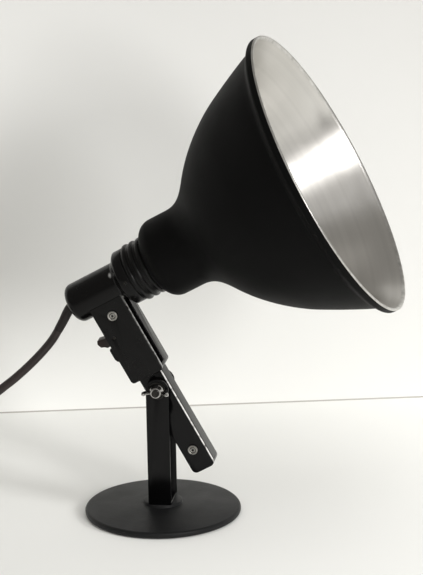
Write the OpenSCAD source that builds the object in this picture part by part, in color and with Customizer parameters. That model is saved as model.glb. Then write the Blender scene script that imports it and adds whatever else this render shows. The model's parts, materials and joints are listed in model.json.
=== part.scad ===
// Photo lamp for the desk: weighted disc base, channel post, tilting grip handle
// and a large spun reflector. Millimetres, +Z up, the origin is the middle of the
// base on the desk, and the reflector points along +X.

/* [Base] */
// Diameter of the disc base
base_d = 125; // [110:1:150]
// Thickness of the disc at its rim
base_rim_h = 5; // [4:0.5:8]
// Rise of the disc from its rim to its middle
base_dome = 3; // [1:0.5:5]
// Thickness of the soft pad under the disc
pad_h = 2; // [1.5:0.5:2.5]
// Diameter of the raised foot in the middle
boss_d = 31; // [28:1:40]
// Height of the raised foot above the dome
boss_h = 2.5; // [2:0.5:4]

/* [Post] */
// Height of the tilt pivot above the desk
pivot_z = 107.5; // [90:0.5:140]
// Width of the post's side flanges
post_w = 18.4; // [16:0.2:22]
// Distance over the outsides of the two flanges
post_depth = 29; // [28:0.5:36]
// Sheet thickness of the post
post_t = 1.6; // [1.2:0.1:2.4]
// Distance from the pivot down to the top of the post's web
web_drop = 20; // [16:1:40]

/* [Pivot hardware] */
// Diameter of the pivot bolt
bolt_d = 6; // [5:0.5:7]
// Span over the wings of the nut
wing_span = 22; // [20:1:26]
// Radial clearance of a turning fit
run_gap = 0.05; // [0.02:0.01:0.1]

/* [Arm] */
// Angle of the reflector's axis above the horizontal
tilt = 28.8; // [20:0.2:35]
// Width of the arm, seen from the side
arm_w = 20.4; // [18:0.2:24]
// Depth of the arm, over both cheeks
arm_depth = 18.4; // [16:0.2:20]
// Sheet thickness of the arm
arm_t = 1.5; // [1:0.1:2]
// Length of the arm below the pivot
tail_len = 75.6; // [66:0.2:84]
// Distance from the pivot down to the lower rivet
low_rivet_a = 57; // [45:1:62]

/* [Handle] */
// Width of the handle, seen from the side
grip_w = 29; // [27:0.5:34]
// Depth of the handle, over the cover and the housing
grip_depth = 28; // [26:0.5:32]
// Distance from the pivot to the handle's lower end
grip_start = 13; // [12:0.5:18]
// Wall of the moulded housing
grip_wall = 2.5; // [2:0.1:3]
// Thickness of the cover
cover_t = 3; // [2.5:0.1:3.5]
// Width of the groove down the front
groove_w = 10; // [7:0.5:11]
// Depth of the groove down the front
groove_d = 7.5; // [5:0.5:8]
// Distance from the barrel's underside to the upper rivet's middle
rivet_drop = 3.7; // [2.5:0.1:7]
// Diameter of a rivet's head
rivet_head_d = 8; // [7:0.2:9]
// Diameter of a rivet's shank
rivet_d = 4.4; // [3:0.2:5]
// Thickness of the switch lever
lever_t = 5.5; // [4:0.5:7]
// Width of the switch lever
lever_w = 10; // [6:0.5:11]

/* [Lampholder] */
// Distance from the pivot to the reflector's axis
axis_a = 89.3; // [86:0.1:94]
// Outer diameter of the barrel
barrel_d = 32; // [30:0.5:36]
// Wall of the barrel
barrel_wall = 2.6; // [2:0.1:3.2]
// Distance from the handle's middle back to the barrel's rear end
barrel_back = 30; // [28:0.5:36]
// Outer diameter of the ribbed collar
collar_d = 47.6; // [46:0.2:54]
// Outer diameter of the plain ring behind the ribs
ring_d = 44.6; // [43:0.2:46]
// Outer diameter of the ceramic holder
core_d = 38; // [36:0.2:40]
// Inner diameter of the lamp's thread shell
shell_d = 27; // [26.8:0.1:28]

/* [Reflector] */
// Diameter over the reflector's rim
rim_d = 236.6; // [200:0.2:260]
// Distance from the handle's middle to the plane of the rim
rim_x = 205.8; // [198:0.2:225]
// Diameter of the reflector's neck
neck_d = 64.9; // [58:0.1:70]
// Sheet thickness of the reflector
shade_t = 1; // [0.8:0.1:1.5]
// Largest diameter of the lamp's glass
bulb_d = 60; // [50:1:66]
// Length of the lamp's glass
bulb_len = 82; // [70:1:90]

/* [Cord] */
// Diameter of the power cord
cord_d = 6.8; // [5.5:0.1:7.5]
// Extra wall of the strain relief where it leaves the barrel
sleeve_wall = 0.8; // [0.6:0.1:2]

/* [Hidden] */
$fn = 96;

// colours
black_paint = [0.06, 0.06, 0.065];
base_paint = [0.13, 0.13, 0.14];
black_moulding = [0.07, 0.06, 0.055];
bright_metal = [0.75, 0.75, 0.77];
brass_metal = [0.78, 0.62, 0.3];
white_ceramic = [0.9, 0.89, 0.85];
cord_brown = [0.16, 0.1, 0.08];

// base and foot
pad_recess = pad_h - 0.8;
disc_z = pad_h - pad_recess;
rim_top = disc_z + base_rim_h;
dome_top = rim_top + base_dome;
boss_top = dome_top + boss_h;
pad_d = base_d - 17;
foot_bolt_d = 6;
foot_gap = 0.2;
nut_h = 4;
foot_plate_h = post_t;
flange_in = post_depth / 2 - post_t;

// pivot hardware
bore_r = bolt_d / 2 + run_gap;
washer_gap = 0.1;
washer_d = 15;
wing_washer_t = 1.2;
hub_d = 11.5;
hub_h = 5.5;
hub_y = post_depth / 2 + wing_washer_t;
bolt_head_h = 3;

// arm and handle, in the tilted frame: x forward, y deep, z up the arm
cheek_in = arm_depth / 2 - arm_t;
arm_back = -arm_w / 2;
arm_front = arm_w / 2;
tongue_front = 3.6;
top_rivet_a = axis_a - barrel_d / 2 - rivet_drop;
tongue_top = top_rivet_a + 4.4;
bend_r = 2.5;
corner_r = 5;
shoulder_a = grip_start - 1;
grip_back = -grip_w / 2 - 0.9;
grip_front = grip_w / 2 - 0.9;
grip_far = grip_depth / 2;
cover_in = -grip_far + cover_t;
groove_far = cover_in + groove_w;
groove_floor = grip_front - groove_d;
grip_round = 3;
rivet_n = -0.8;
rivet_cap_h = 1.2;
shank_gap = 0.1;
pin_d = 2.6;
lever_a = 53;
lever_n = -9.2;
lever_reach = 17.6;
slot_gap = 0.6;

// barrel, collar and holder, along the reflector's axis
barrel_r = barrel_d / 2;
barrel_in = barrel_r - barrel_wall;
flare_x = 14.4;
ring_x = 20.5;
collar_x = 28.3;
collar_front = 46.5;
rib_count = 3;
rib_depth = 0.9;
rib_pitch = (collar_front - collar_x) / rib_count;
core_r = core_d / 2;
fit_gap = 0.1;
nose_len = 8.5;
core_front = collar_front + nose_len;
core_back = ring_x + 2.5;
shell_r = shell_d / 2;
shell_back = core_back + 9;
shell_t = 0.5;
sleeve_r = cord_d / 2 + sleeve_wall;

// reflector: an outline of Bezier stretches from the rear wall to the lip
neck_r = neck_d / 2;
rim_r = rim_d / 2;
lip_w = 4.8;
lip_x = rim_x - 12;
lip_r = rim_r - 7.4;
hole_r = core_r + 0.3;
function bezier(p, t) = let (s = 1 - t)
    s * s * s * p[0] + 3 * s * s * t * p[1] + 3 * s * t * t * p[2] + t * t * t * p[3];
function stretch(p, n) = [for (i = [0:n - 1]) bezier(p, i / n)];
bell_x = rim_x - 55.8;
bell_r = lip_r - (lip_x - bell_x) * 0.46;
waist_x = bell_x - 49.5;
waist_r = neck_r + (bell_r - neck_r) * 0.29;
outline = concat(
    [[collar_front, hole_r]],
    stretch([[collar_front, neck_r - 9], [collar_front + 1, neck_r - 5],
        [collar_front + 5.5, neck_r], [collar_front + 12.5, neck_r]], 6),
    stretch([[waist_x - 25.5, neck_r], [waist_x - 14, neck_r + 0.1],
        [waist_x - 7.5, waist_r - 9.1], [waist_x, waist_r]], 8),
    stretch([[waist_x, waist_r], [waist_x + 13, waist_r + 16.9],
        [bell_x - 18, bell_r - 9.7], [bell_x, bell_r]], 12),
    stretch([[lip_x, lip_r], [lip_x + 3.5, lip_r + 1.7],
        [rim_x - lip_w - 3, rim_r], [rim_x - lip_w, rim_r]], 6),
    [[rim_x - lip_w, rim_r], [rim_x, rim_r]]);
function unit(v) = v / norm(v);
function inward(p, i) = let (a = p[max(i - 1, 0)], b = p[min(i + 1, len(p) - 1)],
    d = unit(b - a)) [d[1], -d[0]];
outline_in = [for (i = [len(outline) - 1:-1:0])
    i == 0 ? outline[0] + [shade_t, 0] : i == len(outline) - 1
    ? outline[i] + [0, -shade_t] : outline[i] + shade_t * inward(outline, i)];

// cord: one route from the barrel's rear end down to the desk and along it. Each
// point is a distance behind the barrel's end and a share of that end's height.
cord_r = cord_d / 2;
exit_x = -axis_a * sin(tilt) - barrel_back * cos(tilt);
exit_z = pivot_z + axis_a * cos(tilt) - barrel_back * sin(tilt);
drop = [[0, 1], [2.2, 0.983], [4.6, 0.9585], [7.7, 0.9215], [11.9, 0.8765], [16.8, 0.829],
    [23, 0.782], [29.7, 0.7375], [36.5, 0.696], [43.5, 0.6565], [50.6, 0.619],
    [58.5, 0.581], [68, 0.533], [80, 0.462], [92, 0.385], [104.7, 0.303], [118, 0.221],
    [132, 0.145], [147, 0.081], [163, 0.034], [180, 0.008], [196.7, 0], [207, 0]];
route = [for (p = drop) [exit_x - p[0], 0, cord_r + (exit_z - cord_r) * p[1]]];
sleeve_end = 4;
hang_end = 18;
joint_gap = 0.3;
coil_mid_r = 42;
coil_at = [exit_x - 230.7, -coil_mid_r - cord_d];
coil_rows = 3;
coil_half = coil_rows * cord_r;
tail_y = coil_at[1] - coil_mid_r - 2 * cord_d - 1.5;
tail = [for (p = [[-14, 4.8, 9.5], [-4, 1.2, 8.2], [8, 0, 7.4], [25, 0, 7]])
    [coil_at[0] + p[0], tail_y + p[1], p[2]]];
tie_w = 8;
tie_t = 1;
plug_at = [coil_at[0] + 24, tail_y, 7];
plug_len = 36;
pin_gap = 19;
pin_len = 18.5;

module in_head() {
    translate([0, 0, pivot_z]) rotate([0, -tilt, 0]) children();
}
// a shape drawn along z is laid along the reflector's axis
module on_axis() {
    in_head() translate([0, 0, axis_a]) rotate([0, 90, 0]) children();
}
// a cylinder along y from y0 to y1
module rod_y(r, y0, y1, x = 0, z = 0) {
    translate([x, y1, z]) rotate([90, 0, 0]) cylinder(r = r, h = y1 - y0);
}
module box_from(low, high) {
    translate(low) cube(high - low);
}
module rounded(w, h, r) {
    translate([r, r]) offset(r = r, $fn = 32) square([w - 2 * r, h - 2 * r]);
}
// the direction of a route at each of its points
function bearing(p) = [for (i = [0:len(p) - 1])
    unit(p[min(i + 1, len(p) - 1)] - p[max(i - 1, 0)])];
// rings across a route, joined into one closed tube
module swept(points, along, radii, sides = 10) {
    n = len(points);
    verts = [for (i = [0:n - 1])
        let (s = unit(cross([0, 0, 1], along[i])), u = cross(along[i], s))
        for (k = [0:sides - 1])
            points[i] + radii[i] * (cos(360 * k / sides) * s + sin(360 * k / sides) * u)];
    walls = [for (i = [0:n - 2], k = [0:sides - 1])
        let (a = i * sides + k, b = i * sides + (k + 1) % sides)
        each [[a, a + sides, b], [b, a + sides, b + sides]]];
    polyhedron(verts, concat([[for (k = [0:sides - 1]) k]],
        [[for (k = [sides - 1:-1:0]) (n - 1) * sides + k]], walls));
}

// ---- stand ----
module base_disc() {
    edge = 2;
    color(base_paint) difference() {
        rotate_extrude($fn = 160) union() {
            polygon([[0, disc_z], [base_d / 2 - edge, disc_z], [base_d / 2 - edge, rim_top],
                [base_d / 2 - 12, rim_top + base_dome * 0.35],
                [base_d / 2 - 26, rim_top + base_dome * 0.7],
                [boss_d / 2 + 4, dome_top], [0, dome_top]]);
            translate([base_d / 2 - edge, disc_z + edge]) circle(edge, $fn = 32);
            translate([base_d / 2 - edge, rim_top - edge]) circle(edge, $fn = 32);
            translate([base_d / 2 - edge, disc_z + edge])
                square([edge, base_rim_h - 2 * edge]);
        }
        translate([0, 0, disc_z - 1]) cylinder(d = pad_d + 2 * foot_gap, h = 1 + pad_recess);
        cylinder(r = foot_bolt_d / 2 + foot_gap, h = dome_top + 1);
        cylinder(d = 2 * foot_bolt_d + 1, h = disc_z + pad_recess + 3.4);
    }
}
module base_pad() {
    color([0.12, 0.12, 0.12]) cylinder(d = pad_d, h = pad_h);
}
module foot_boss() {
    color(base_paint) difference() {
        translate([0, 0, dome_top]) rotate_extrude() polygon([[0, 0], [boss_d / 2, 0],
            [boss_d / 2, boss_h - 0.8], [boss_d / 2 - 0.8, boss_h], [0, boss_h]]);
        translate([0, 0, dome_top - 1]) cylinder(r = foot_bolt_d / 2 + foot_gap, h = boss_h + 2);
    }
}
module foot_screw() {
    head_z = disc_z + pad_recess + 0.4;
    color(bright_metal) difference() {
        union() {
            translate([0, 0, head_z]) cylinder(d = 2 * foot_bolt_d, h = 3);
            translate([0, 0, head_z]) cylinder(d = foot_bolt_d, h = boss_top - head_z + 8);
        }
        translate([-foot_bolt_d, -0.8, head_z - 1]) cube([2 * foot_bolt_d, 1.6, 2.2]);
    }
}
module foot_nut() {
    color(bright_metal) translate([0, 0, boss_top + foot_plate_h]) difference() {
        cylinder(d = 11.5, h = nut_h, $fn = 6);
        translate([0, 0, -1]) cylinder(r = foot_bolt_d / 2 + run_gap, h = nut_h + 2);
    }
}
module post_channel() {
    color(black_paint) difference() {
        union() {
            for (side = [-1, 1]) {
                y = side > 0 ? flange_in : -post_depth / 2;
                box_from([-post_w / 2, y, boss_top], [post_w / 2, y + post_t, pivot_z]);
                rod_y(post_w / 2, y, y + post_t, 0, pivot_z);
            }
            box_from([-post_w / 2, -post_depth / 2, boss_top],
                [-post_w / 2 + post_t, post_depth / 2, pivot_z - web_drop]);
            box_from([-post_w / 2, -post_depth / 2, boss_top],
                [post_w / 2, post_depth / 2, boss_top + foot_plate_h]);
        }
        rod_y(bore_r, -post_depth, post_depth, 0, pivot_z);
        cylinder(r = foot_bolt_d / 2 + foot_gap, h = boss_top + 5);
    }
}

// ---- pivot hardware ----
module pivot_bolt() {
    color(bright_metal) union() {
        rod_y(bolt_d / 2, -hub_y - hub_h - 2, post_depth / 2 + 0.5, 0, pivot_z);
        rod_y(bolt_d, post_depth / 2, post_depth / 2 + bolt_head_h, 0, pivot_z);
    }
}
module pivot_washers() {
    color([0.3, 0.14, 0.1]) for (side = [-1, 1]) difference() {
        y0 = side > 0 ? arm_depth / 2 + washer_gap : -flange_in;
        y1 = side > 0 ? flange_in : -arm_depth / 2 - washer_gap;
        rod_y(washer_d / 2, y0, y1, 0, pivot_z);
        rod_y(bolt_d / 2 + run_gap, y0 - 1, y1 + 1, 0, pivot_z);
    }
}
module wing_washer() {
    color(bright_metal) difference() {
        rod_y(6.8, -hub_y, -post_depth / 2, 0, pivot_z);
        rod_y(bolt_d / 2 + run_gap, -hub_y - 1, -post_depth / 2 + 1, 0, pivot_z);
    }
}
module wing_nut() {
    root_y = -hub_y - 0.3;
    tip_y = root_y - hub_h - 5;
    color(bright_metal) difference() {
        union() {
            rod_y(hub_d / 2, root_y - 1.6, root_y, 0, pivot_z);
            translate([0, root_y - 1.6, pivot_z]) rotate([90, 0, 0])
                cylinder(r1 = hub_d / 2, r2 = hub_d / 2 - 1.6, h = hub_h - 1.6);
            for (side = [-1, 1]) translate([0, 0, pivot_z]) rotate([0, 1, 0])
                translate([0, 0, -1.1]) linear_extrude(2.2) polygon([
                    [side * 3.6, root_y - 0.8], [side * 5.2, root_y - 0.8],
                    [side * (wing_span / 2 - 1), tip_y + 3.2],
                    [side * wing_span / 2, tip_y + 1.2],
                    [side * (wing_span / 2 - 1), tip_y],
                    [side * (wing_span / 2 - 3.4), tip_y + 0.2],
                    [side * 3.6, root_y - hub_h + 0.4]]);
        }
        rod_y(bolt_d / 2 + run_gap, root_y - 20, root_y + 1, 0, pivot_z);
    }
}

// ---- arm ----
module arm_side() {
    polygon(concat(
        [for (t = [0:15:90]) [arm_back + 4 - 4 * sin(t), 4 - tail_len - 4 * cos(t)]],
        [[arm_back, tongue_top], [tongue_front, tongue_top], [tongue_front, shoulder_a],
            [arm_front, shoulder_a]],
        [for (t = [0:15:90]) [arm_front - corner_r + corner_r * cos(t),
            corner_r - tail_len - corner_r * sin(t)]]));
}
// the space between the cheeks, open at the rear and at the top
module arm_space() {
    r = corner_r - arm_t;
    polygon(concat([[-30, tongue_top + 1], [-30, arm_t - tail_len]],
        [for (t = [90:-15:0]) [arm_front - corner_r + r * cos(t),
            corner_r - tail_len - r * sin(t)]],
        [[arm_front - arm_t, tongue_top + 1]]));
}
module arm_channel() {
    color(black_paint) in_head() difference() {
        translate([0, arm_depth / 2, 0]) rotate([90, 0, 0]) linear_extrude(arm_depth) arm_side();
        translate([0, cheek_in, 0]) rotate([90, 0, 0]) linear_extrude(2 * cheek_in) arm_space();
        // rounded bends down both sides of the front web
        for (side = [-1, 1]) difference() {
            y = side * (arm_depth / 2 - bend_r);
            box_from([arm_front - bend_r, min(y, y + side * 4), -tail_len - 1],
                [arm_front + 1, max(y, y + side * 4), shoulder_a + 1]);
            translate([arm_front - bend_r, y, -tail_len - 2])
                cylinder(r = bend_r, h = tail_len + shoulder_a + 4, $fn = 48);
        }
        rod_y(bore_r, -arm_depth, arm_depth);
        rod_y(rivet_d / 2 + shank_gap, -arm_depth, arm_depth, rivet_n, -low_rivet_a);
        rod_y(rivet_d / 2 + shank_gap, -arm_depth, arm_depth, rivet_n, top_rivet_a);
        rod_y(pin_d / 2 + shank_gap, -arm_depth, arm_depth, lever_n, lever_a);
    }
}
module rivet_heads(half, z) {
    for (side = [-1, 1]) translate([rivet_n, side * half, z]) rotate([-90 * side, 0, 0])
        rotate_extrude() polygon([[0, 0], [rivet_head_d / 2, 0],
            [rivet_head_d / 2 - 0.5, rivet_cap_h * 0.75], [rivet_head_d / 2 - 1.3, rivet_cap_h],
            [rivet_head_d / 2 - 2, rivet_cap_h * 0.55], [0, rivet_cap_h * 0.55]]);
    rod_y(rivet_d / 2, -half, half, rivet_n, z);
}
module arm_rivet() {
    color(bright_metal) in_head() rivet_heads(arm_depth / 2, -low_rivet_a);
}
module arm_spacer() {
    color(bright_metal) in_head() difference() {
        rod_y(rivet_head_d / 2, -cheek_in, cheek_in, rivet_n, -low_rivet_a);
        rod_y(rivet_d / 2 + shank_gap, -arm_depth, arm_depth, rivet_n, -low_rivet_a);
    }
}

// ---- handle ----
module grip_side() {
    translate([grip_back, grip_start])
        rounded(grip_w, axis_a - grip_start + grip_round, grip_round);
}
// what the barrel and everything above its axis take out of the handle
module barrel_cut() {
    translate([-60, 0, axis_a]) rotate([0, 90, 0]) cylinder(d = barrel_d, h = 120);
    box_from([-60, -40, axis_a], [60, 40, axis_a + 20]);
}
module grip_holes() {
    rod_y(rivet_d / 2 + shank_gap, -20, 20, rivet_n, top_rivet_a);
    rod_y(pin_d / 2 + shank_gap, -20, 20, lever_n, lever_a);
}
module handle_housing() {
    inner_back = grip_back + grip_wall;
    inner_low = grip_start + grip_wall;
    tongue_gap = 0.4;
    color(black_moulding) in_head() difference() {
        translate([0, grip_far, 0]) rotate([90, 0, 0])
            linear_extrude(grip_far - cover_in) grip_side();
        barrel_cut();
        grip_holes();
        // groove, then the space behind it and beside it
        box_from([groove_floor, cover_in - 1, inner_low + 2], [30, groove_far, 100]);
        box_from([inner_back, cover_in - 1, inner_low],
            [groove_floor - 2, grip_far - grip_wall, 100]);
        box_from([inner_back, groove_far + 2, inner_low],
            [grip_front - grip_wall, grip_far - grip_wall, 100]);
        box_from([arm_back - tongue_gap, -arm_depth / 2 - tongue_gap, 0],
            [tongue_front + tongue_gap, arm_depth / 2 + tongue_gap, inner_low + 1]);
        box_from([grip_back - 1, -lever_w / 2 - slot_gap, lever_a - 9.5],
            [inner_back + 1, lever_w / 2 + slot_gap, lever_a + 9.5]);
    }
}
module handle_cover() {
    color(black_moulding) in_head() difference() {
        translate([0, cover_in, 0]) rotate([90, 0, 0]) linear_extrude(cover_t) grip_side();
        barrel_cut();
        grip_holes();
    }
}
module handle_rivet() {
    color(bright_metal) in_head() rivet_heads(grip_far, top_rivet_a);
}
module switch_lever() {
    color(black_moulding) in_head() translate([lever_n, lever_w / 2, lever_a])
        rotate([90, 0, 0]) difference() {
            linear_extrude(lever_w) offset(r = 1, $fn = 32) offset(r = -1, $fn = 32) union() {
                circle(4);
                polygon([[-1, -3.8], [-5, -lever_t - 0.7], [-11.6, -lever_t - 0.9],
                    [-13.4, -lever_t + 0.7], [-lever_reach + 1.4, -lever_t + 1.7],
                    [-lever_reach, -0.4], [-lever_reach + 1.2, 2.6], [-10, 1.6], [-1, 3.8]]);
            }
            translate([0, 0, -1]) cylinder(r = pin_d / 2 + run_gap, h = lever_w + 2);
        }
}
module switch_pin() {
    color(bright_metal) in_head() rod_y(pin_d / 2, -grip_far + 0.3, grip_far - 0.3, lever_n, lever_a);
}
module switch_body() {
    color([0.2, 0.2, 0.2]) in_head() difference() {
        box_from([-11, -6, 22], [2.5, 6, 42]);
        box_from([-7, -3, 38], [-1.5, 3, 43]);
    }
}
module switch_contacts() {
    color(brass_metal) in_head() for (y = [-4.6, 3.8])
        box_from([-9, y, 42], [-7.5, y + 0.8, 46]);
}
module switch_plate() {
    // a raised guard below the lever, on the handle's rear face
    half = -cover_in - 0.3;
    color(black_moulding) in_head() translate([grip_back, half, 0])
        rotate([90, 0, 0]) linear_extrude(2 * half)
        polygon([[0, lever_a - 7], [-2.6, lever_a - 7.3], [-3.1, lever_a - 8.6],
            [-3.1, lever_a - 16.6], [-2.2, lever_a - 18.4], [0, lever_a - 20.5]]);
}

// ---- barrel and cord entry ----
module socket_barrel() {
    r = 7;
    flare = (ring_d - barrel_d) / 2;
    color(black_moulding) difference() {
        on_axis() rotate_extrude() union() {
            difference() {
                polygon(concat([[0, -barrel_back]],
                    [for (t = [0:15:90]) [barrel_r - r + r * sin(t), -barrel_back + 5 - 5 * cos(t)]],
                    [[barrel_r, flare_x], [barrel_r + flare * 0.45, flare_x + 3.6],
                        [ring_d / 2 - 0.6, ring_x], [ring_d / 2, ring_x + 0.6],
                        [ring_d / 2, collar_x - 1.2], [ring_d / 2 - 0.8, collar_x],
                        [0, collar_x]]));
                polygon([[0, -barrel_back + barrel_wall], [barrel_in - 4, -barrel_back + barrel_wall],
                    [barrel_in, -barrel_back + barrel_wall + 3],
                    [barrel_in, flare_x + 1], [core_r + fit_gap, core_back],
                    [core_r + fit_gap, collar_x + 1], [0, collar_x + 1]]);
            }
        }
        on_axis() translate([0, 0, -barrel_back - 1]) cylinder(r = sleeve_r, h = 6);
        in_head() box_from([-9, -5, axis_a - barrel_r - 2], [8, 5, axis_a - 8]);
        in_head() translate([24.4, 0, axis_a]) rod_y(1.6, -30, -core_r, 0, 0);
    }
}
module cord_sleeve() {
    // the inner part grips the barrel's end wall, and the outer part tapers
    last = sleeve_end;
    color([0.05, 0.05, 0.05]) union() {
        on_axis() translate([0, 0, -barrel_back + barrel_wall]) cylinder(r = sleeve_r + 1, h = 1.6);
        on_axis() translate([0, 0, -barrel_back - 3.4])
            cylinder(r = sleeve_r - 0.1, h = barrel_wall + 3.6);
        swept([for (i = [1:last]) route[i]], [for (i = [1:last]) bearing(route)[i]],
            [for (i = [1:last]) cord_r + sleeve_wall * (last + 0.2 - i) / last], 12);
    }
}
module cord_clamp() {
    color(bright_metal) in_head() difference() {
        box_from([-22, -9, axis_a + 0.6], [-16, 9, axis_a + 6]);
        translate([-23, 0, axis_a]) rotate([0, 90, 0]) cylinder(r = cord_r, h = 8);
        for (y = [-6.3, 6.3]) translate([-19, y, axis_a]) cylinder(r = 1.6, h = 8);
    }
}
module clamp_screws() {
    color(bright_metal) in_head() for (y = [-6.3, 6.3]) translate([-19, y, axis_a - 6]) union() {
        cylinder(r = 1.5, h = 12.2);
        translate([0, 0, 12]) cylinder(r = 2.6, h = 1.6);
    }
}
module lead(side) {
    way = [[-24, side * 1.5, axis_a], [-12, side * 1.5, axis_a], [0, side * 2.6, axis_a - 1],
        [12, side * 4, axis_a - 2], [core_back - 0.3, side * 4.4, axis_a - 2]];
    swept(way, bearing(way), [for (p = way) 1.1], 8);
}
module live_lead() {
    color([0.35, 0.18, 0.1]) in_head() lead(-1);
}
module neutral_lead() {
    color([0.1, 0.25, 0.6]) in_head() lead(1);
}

// ---- lampholder ----
module holder_core() {
    color(white_ceramic) on_axis() difference() {
        translate([0, 0, core_back]) cylinder(r = core_r, h = core_front - core_back);
        translate([0, 0, shell_back]) cylinder(r = shell_r + shell_t, h = core_front);
        translate([0, 0, shell_back - 3]) cylinder(r = 7, h = 4);
    }
}
module holder_shell() {
    color(brass_metal) on_axis() difference() {
        translate([0, 0, shell_back]) cylinder(r = shell_r + shell_t, h = core_front - shell_back - 1);
        translate([0, 0, shell_back - 1]) cylinder(r = shell_r, h = core_front);
    }
}
module centre_contact() {
    color(brass_metal) on_axis() union() {
        translate([0, 0, shell_back - 3]) cylinder(r = 5, h = 0.8);
        translate([-4, -2, shell_back - 3]) cube([1, 4, 3.6]);
        translate([-4, -2, shell_back + 0.2]) cube([7, 4, 0.6]);
    }
}
module collar() {
    color(black_moulding) on_axis() rotate_extrude() difference() {
        translate([core_r + fit_gap, collar_x])
            square([collar_d / 2 - core_r - fit_gap, collar_front - collar_x]);
        for (i = [0:rib_count - 1]) translate([collar_d / 2 + 0.7, collar_x + i * rib_pitch])
            circle(1.9, $fn = 32);
        translate([collar_d / 2 + 0.9, collar_front + 0.9]) circle(1.9, $fn = 32);
    }
}
module set_screw() {
    color(bright_metal) in_head() difference() {
        rod_y(1.5, -ring_d / 2 - 0.3, -core_r, 24.4, axis_a);
        box_from([24.1, -ring_d / 2 - 1, axis_a - 2], [24.7, -ring_d / 2 + 0.6, axis_a + 2]);
    }
}
module shade_ring() {
    grip = 1.5;
    color(bright_metal) on_axis() rotate_extrude() difference() {
        translate([core_r + fit_gap, collar_front + shade_t])
            square([neck_r - 9 - core_r - 0.6, 5]);
        translate([neck_r - 10 + grip, collar_front + 8]) circle(3.4, $fn = 32);
    }
}
module reflector() {
    color(black_paint) on_axis() rotate_extrude($fn = 180)
        polygon([for (p = concat(outline, outline_in)) [p[1], p[0]]]);
}

// ---- lamp ----
cap_back = shell_back + 1.6;
glass_x = core_front + 0.6;
cap_r = 12.9;
module bulb_cap() {
    color(bright_metal) on_axis() rotate_extrude() difference() {
        polygon([[0, cap_back], [4.5, cap_back], [5, cap_back + 1.4], [8, cap_back + 3],
            [cap_r, cap_back + 6], [cap_r, glass_x + 1.4], [cap_r - 0.9, glass_x + 1.4],
            [cap_r - 0.9, cap_back + 7], [0, cap_back + 4]]);
        for (i = [0:4]) translate([cap_r + 0.7, cap_back + 8 + 3.2 * i]) circle(1.3, $fn = 24);
    }
}
function glass_line(wall) = let (r = bulb_d / 2 - wall, neck = 11.6 - wall,
    mid = glass_x + bulb_len - bulb_d / 2) concat(
    [[neck, glass_x - 1 + wall]],
    stretch([[neck + 0.4, glass_x + 8], [neck + 2, glass_x + 20],
        [r - 1, mid - 26], [r, mid]], 8),
    [for (t = [0:10:90]) [r * cos(t), mid + r * sin(t)]]);
module bulb_glass() {
    wall = 0.9;
    outer = glass_line(0);
    inner = glass_line(wall);
    color([1, 1, 1, 0.35]) on_axis() rotate_extrude()
        polygon(concat(outer, [for (i = [len(inner) - 1:-1:0]) inner[i]]));
}
module bulb_stem() {
    post_len = 34;
    color(bright_metal) on_axis() union() {
        translate([0, 0, cap_back + 5]) cylinder(r = 3, h = glass_x - cap_back + 6);
        for (side = [-1, 1]) translate([side * 2, 0, glass_x + 8]) rotate([0, side * 12, 0])
            cylinder(r = 0.5, h = post_len);
        translate([-9, 0, glass_x + 8 + post_len * 0.95]) rotate([0, 90, 0]) cylinder(r = 0.7, h = 18);
    }
}

// ---- cord and plug ----
module cord_part(first, last, gap = 0) {
    along = bearing(route);
    swept([for (i = [first:last]) route[i] + (i == first ? gap : 0) * along[i]],
        [for (i = [first:last]) along[i]], [for (i = [first:last]) cord_r], 10);
}
module power_cord() {
    color(cord_brown) cord_part(sleeve_end, hang_end);
}
module cord_run() {
    color(cord_brown) cord_part(hang_end, len(route) - 1, joint_gap);
}
module cord_coil() {
    color(cord_brown) translate([coil_at[0], coil_at[1], 0]) rotate_extrude()
        translate([coil_mid_r - coil_half, 0]) square([2 * coil_half, 2 * coil_half]);
}
module cord_tail() {
    color(cord_brown) swept(tail, bearing(tail), [for (p = tail) cord_r], 10);
}
module cord_tie() {
    color([0.05, 0.05, 0.05]) translate([coil_at[0], coil_at[1], 0]) rotate([0, 0, 20])
        difference() {
            box_from([coil_mid_r - coil_half - tie_t, -tie_w / 2, 0.2],
                [coil_mid_r + coil_half + tie_t + 0.8, tie_w / 2, 2 * coil_half + tie_t]);
            rotate_extrude() translate([coil_mid_r - coil_half, 0])
                square([2 * coil_half, 2 * coil_half]);
        }
}
module plug_body() {
    color([0.06, 0.06, 0.06]) translate(plug_at) union() {
        rotate([0, 90, 0]) cylinder(r1 = cord_r + 0.9, r2 = 5.4, h = 18);
        hull() for (side = [-1, 1]) {
            translate([17, side * 3, -1]) cube([1, 4, 2], center = true);
            translate([26, side * 8.5, 0]) sphere(r = 5, $fn = 24);
            translate([17 + plug_len - 3, side * 8, 0]) rotate([0, 90, 0])
                cylinder(r = 6.4, h = 2, $fn = 24);
        }
    }
}
module plug_pins() {
    color(bright_metal) translate(plug_at) for (side = [-1, 1])
        translate([17 + plug_len - 1, side * pin_gap / 2 * 0.9, 0]) rotate([0, 90, 0]) union() {
            cylinder(r = 2, h = pin_len - 1.5);
            translate([0, 0, pin_len - 1.5]) cylinder(r1 = 2, r2 = 1.2, h = 1.5);
        }
}

base_disc();
base_pad();
foot_boss();
foot_screw();
foot_nut();
post_channel();
pivot_bolt();
pivot_washers();
wing_washer();
wing_nut();
arm_channel();
arm_rivet();
arm_spacer();
handle_housing();
handle_cover();
handle_rivet();
switch_lever();
switch_pin();
switch_body();
switch_contacts();
switch_plate();
socket_barrel();
cord_sleeve();
cord_clamp();
clamp_screws();
live_lead();
neutral_lead();
holder_core();
holder_shell();
centre_contact();
collar();
set_screw();
shade_ring();
reflector();
bulb_cap();
bulb_glass();
bulb_stem();
power_cord();
cord_run();
cord_coil();
cord_tail();
cord_tie();
plug_body();
plug_pins();
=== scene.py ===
import json
import math

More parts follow.
